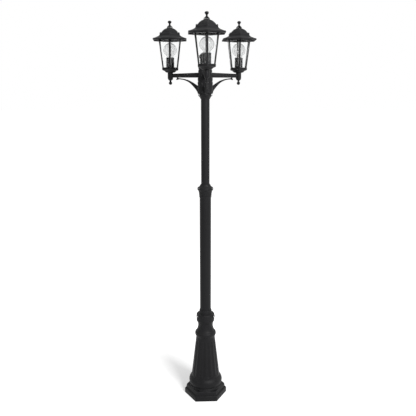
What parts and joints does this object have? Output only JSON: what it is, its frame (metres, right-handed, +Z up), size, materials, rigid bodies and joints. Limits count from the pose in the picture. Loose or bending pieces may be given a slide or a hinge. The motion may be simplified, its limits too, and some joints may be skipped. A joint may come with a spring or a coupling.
{
  "type": "lamp post",
  "caption": "Garden lamp post with a cast hexagonal base, a stepped pole and lift-off hexagonal lanterns on braced arms around an ornamented hub.",
  "frame": {"origin": "post axis at ground level, centre of the anchor bolt circle", "axes": "+Z up along the post; -Y along the front arm; +X to the right seen from the front"},
  "size_m": [0.5024, 0.4822, 1.9395],
  "materials": {
    "cast_coat": "black satin powder coat on cast aluminium",
    "pole_coat": "black satin powder coat on steel tube",
    "screw_steel": "blackened steel",
    "plated_steel": "zinc plated",
    "holder_plastic": "black moulded thermoset",
    "block_plastic": "white nylon",
    "pane_glass": "clear",
    "bulb_glass": "clear",
    "cap_brass": "plain",
    "filament_wire": "drawn wire on a glass stem"
  },
  "bodies": {
    "post": {"ground_plate": "plated_steel", "pole_spigot": "plated_steel", "plinth": "cast_coat", "base_cover": "cast_coat", "base_set_screws": "screw_steel", "lower_pole": "pole_coat", "pole_coupler": "plated_steel", "mid_collar": "cast_coat", "collar_set_screws": "screw_steel", "upper_pole": "pole_coat", "hub_casting": "cast_coat", "hub_set_screws": "screw_steel", "hub_cap": "cast_coat", "terminal_block": "block_plastic", "arm_bolts": "plated_steel", "arm_front": "cast_coat", "arm_brace_front": "cast_coat", "drop_finial_front": "cast_coat", "lantern_tray_front": "cast_coat", "nipple_front": "plated_steel", "cage_front": "cast_coat", "panes_front": "pane_glass", "lampholder_front": "holder_plastic", "arm_right": "cast_coat", "arm_brace_right": "cast_coat", "drop_finial_right": "cast_coat", "lantern_tray_right": "cast_coat", "nipple_right": "plated_steel", "cage_right": "cast_coat", "panes_right": "pane_glass", "lampholder_right": "holder_plastic", "arm_left": "cast_coat", "arm_brace_left": "cast_coat", "drop_finial_left": "cast_coat", "lantern_tray_left": "cast_coat", "nipple_left": "plated_steel", "cage_left": "cast_coat", "panes_left": "pane_glass", "lampholder_left": "holder_plastic"},
    "roof_front": {"roof_front": "cast_coat", "crown_front": "cast_coat", "roof_screws_front": "screw_steel"},
    "finial_front": {"finial_front": "cast_coat"},
    "bulb_front": {"bulb_glass_front": "bulb_glass", "bulb_cap_front": "cap_brass", "bulb_filament_front": "filament_wire"},
    "roof_right": {"roof_right": "cast_coat", "crown_right": "cast_coat", "roof_screws_right": "screw_steel"},
    "finial_right": {"finial_right": "cast_coat"},
    "bulb_right": {"bulb_glass_right": "bulb_glass", "bulb_cap_right": "cap_brass", "bulb_filament_right": "filament_wire"},
    "roof_left": {"roof_left": "cast_coat", "crown_left": "cast_coat", "roof_screws_left": "screw_steel"},
    "finial_left": {"finial_left": "cast_coat"},
    "bulb_left": {"bulb_glass_left": "bulb_glass", "bulb_cap_left": "cap_brass", "bulb_filament_left": "filament_wire"}
  },
  "joints": [
    {"name": "roof_lift_front", "type": "slide", "parent": "post", "child": "roof_front", "axis": [0, 0, 1], "range_m": [0, 0.15]},
    {"name": "finial_turn_front", "type": "hinge", "parent": "roof_front", "child": "finial_front", "pos_m": [0, -0.196, 1.93], "axis": [0, 0, 1], "continuous": true},
    {"name": "bulb_turn_front", "type": "hinge", "parent": "post", "child": "bulb_front", "pos_m": [0, -0.196, 1.76], "axis": [0, 0, 1], "range_deg": [0, 1440]},
    {"name": "roof_lift_right", "type": "slide", "parent": "post", "child": "roof_right", "axis": [0, 0, 1], "range_m": [0, 0.15]},
    {"name": "finial_turn_right", "type": "hinge", "parent": "roof_right", "child": "finial_right", "pos_m": [0.16974, 0.098, 1.93], "axis": [0, 0, 1], "continuous": true},
    {"name": "bulb_turn_right", "type": "hinge", "parent": "post", "child": "bulb_right", "pos_m": [0.16974, 0.098, 1.76], "axis": [0, 0, 1], "range_deg": [0, 1440]},
    {"name": "roof_lift_left", "type": "slide", "parent": "post", "child": "roof_left", "axis": [0, 0, 1], "range_m": [0, 0.15]},
    {"name": "finial_turn_left", "type": "hinge", "parent": "roof_left", "child": "finial_left", "pos_m": [-0.16974, 0.098, 1.93], "axis": [0, 0, 1], "continuous": true},
    {"name": "bulb_turn_left", "type": "hinge", "parent": "post", "child": "bulb_left", "pos_m": [-0.16974, 0.098, 1.76], "axis": [0, 0, 1], "range_deg": [0, 1440]}
  ]
}
